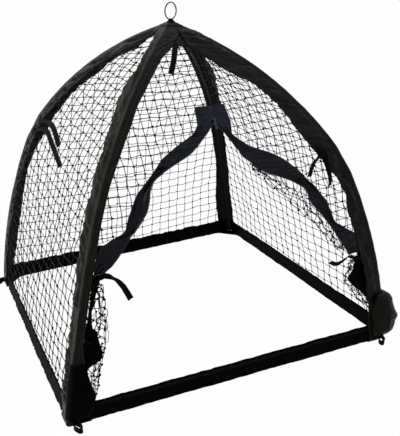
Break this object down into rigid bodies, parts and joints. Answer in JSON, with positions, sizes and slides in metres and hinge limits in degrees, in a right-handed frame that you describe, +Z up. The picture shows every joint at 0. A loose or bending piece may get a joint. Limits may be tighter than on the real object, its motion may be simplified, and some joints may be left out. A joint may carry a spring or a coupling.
{
  "type": "plant protection cage",
  "caption": "Dome-shaped plant cage of black netting on arched poles in fabric sleeves, with a zipped doorway tied open, ground bands, peg loops and a ring at the peak.",
  "frame": {"origin": "middle of the footprint on the ground, under the peak", "axes": "+Z up, -Y out of the doorway, +X to the right of someone who looks in at the door"},
  "size_m": [0.6608, 0.6596, 0.6214],
  "materials": {
    "pole": "satin fibreglass",
    "ferrule_steel": "zinc plated",
    "nylon": "matte",
    "polyester": "plain weave with a slight sheen",
    "band_cloth": "stiffened plain weave",
    "netting": "knotted mesh",
    "webbing": "matte",
    "nickel": "bright plated"
  },
  "bodies": {
    "cage": {"base_band_back": "band_cloth", "base_band_front": "band_cloth", "base_band_left": "band_cloth", "base_band_right": "band_cloth", "corner_sole_back_left": "band_cloth", "corner_sole_back_right": "band_cloth", "corner_sole_front_left": "band_cloth", "corner_sole_front_right": "band_cloth", "door_flap_left": "netting", "door_flap_right": "netting", "ferrule_back_left": "ferrule_steel", "ferrule_back_right": "ferrule_steel", "ferrule_front_left": "ferrule_steel", "ferrule_front_right": "ferrule_steel", "flap_hem_left": "band_cloth", "flap_hem_right": "band_cloth", "flap_tie_left": "webbing", "flap_tie_right": "webbing", "hub": "nylon", "leg_sleeve_back_left": "polyester", "leg_sleeve_back_right": "polyester", "leg_sleeve_front_left": "polyester", "leg_sleeve_front_right": "polyester", "net_back": "netting", "net_front": "netting", "net_left": "netting", "net_right": "netting", "peak_cap": "polyester", "ring_tab": "webbing", "rod_lower_back_left": "pole", "rod_lower_back_right": "pole", "rod_lower_front_left": "pole", "rod_lower_front_right": "pole", "rod_tip_back_left": "nylon", "rod_tip_back_right": "nylon", "rod_tip_front_left": "nylon", "rod_tip_front_right": "nylon", "rod_upper_back_left": "pole", "rod_upper_back_right": "pole", "rod_upper_front_left": "pole", "rod_upper_front_right": "pole", "zip_tape_left": "band_cloth", "zip_tape_right": "band_cloth", "zip_top_stop": "nickel"},
    "ring": {"peak_ring": "nickel"},
    "slider": {"zip_slider": "nickel"},
    "pull": {"zip_pull": "nickel"},
    "tie_peak_tape": {"tie_peak": "webbing"},
    "tie_front_right_short_tape": {"tie_front_right_short": "webbing"},
    "tie_front_right_long_tape": {"tie_front_right_long": "webbing"},
    "tie_back_left_short_tape": {"tie_back_left_short": "webbing"},
    "tie_back_left_long_tape": {"tie_back_left_long": "webbing"},
    "peg_loop_front_left_webbing": {"peg_loop_front_left": "webbing"},
    "peg_loop_front_right_webbing": {"peg_loop_front_right": "webbing"},
    "peg_loop_back_right_webbing": {"peg_loop_back_right": "webbing"},
    "peg_loop_back_left_webbing": {"peg_loop_back_left": "webbing"}
  },
  "joints": [
    {"name": "ring_fold", "type": "hinge", "parent": "cage", "child": "ring", "pos_m": [0.004, 0, 0.58858], "axis": [0.9212, 0.3891, 0], "range_deg": [-80, 80]},
    {"name": "zip_slide", "type": "slide", "parent": "cage", "child": "slider", "axis": [0.0394, 0.6266, 0.7783], "range_m": [0, 0.0178]},
    {"name": "pull_swing", "type": "hinge", "parent": "slider", "child": "pull", "pos_m": [-0.00291, -0.18681, 0.44234], "axis": [-0.9991, 0.0105, 0.0421], "range_deg": [0, 150]},
    {"name": "tie_peak_lift", "type": "hinge", "parent": "cage", "child": "tie_peak_tape", "pos_m": [-0.01663, -0.06177, 0.55452], "axis": [-0.8979, 0.3635, 0.2482], "range_deg": [0, 70]},
    {"name": "tie_front_right_short_lift", "type": "hinge", "parent": "cage", "child": "tie_front_right_short_tape", "pos_m": [0.18867, -0.22328, 0.37686], "axis": [-0.8688, 0.2128, 0.4471], "range_deg": [0, 70]},
    {"name": "tie_front_right_long_lift", "type": "hinge", "parent": "cage", "child": "tie_front_right_long_tape", "pos_m": [0.20705, -0.22528, 0.3728], "axis": [-0.9984, -0.0377, -0.0416], "range_deg": [0, 70]},
    {"name": "tie_back_left_short_lift", "type": "hinge", "parent": "cage", "child": "tie_back_left_short_tape", "pos_m": [-0.20527, 0.17625, 0.39286], "axis": [-0.4197, 0.4661, -0.7789], "range_deg": [0, 70]},
    {"name": "tie_back_left_long_lift", "type": "hinge", "parent": "cage", "child": "tie_back_left_long_tape", "pos_m": [-0.21599, 0.18962, 0.37076], "axis": [-0.3376, 0.6045, -0.7216], "range_deg": [0, 70]},
    {"name": "peg_loop_front_left_turn", "type": "hinge", "parent": "cage", "child": "peg_loop_front_left_webbing", "pos_m": [-0.31293, -0.29766, 0.0065], "axis": [0, 0, 1], "range_deg": [-20, 20]},
    {"name": "peg_loop_front_right_turn", "type": "hinge", "parent": "cage", "child": "peg_loop_front_right_webbing", "pos_m": [0.29974, -0.3113, 0.0065], "axis": [0, 0, 1], "range_deg": [-20, 20]},
    {"name": "peg_loop_back_right_turn", "type": "hinge", "parent": "cage", "child": "peg_loop_back_right_webbing", "pos_m": [0.30914, 0.3103, 0.0065], "axis": [0, 0, 1], "range_deg": [-20, 20]},
    {"name": "peg_loop_back_left_turn", "type": "hinge", "parent": "cage", "child": "peg_loop_back_left_webbing", "pos_m": [-0.30258, 0.27524, 0.0065], "axis": [0, 0, 1], "range_deg": [-20, 20]}
  ]
}
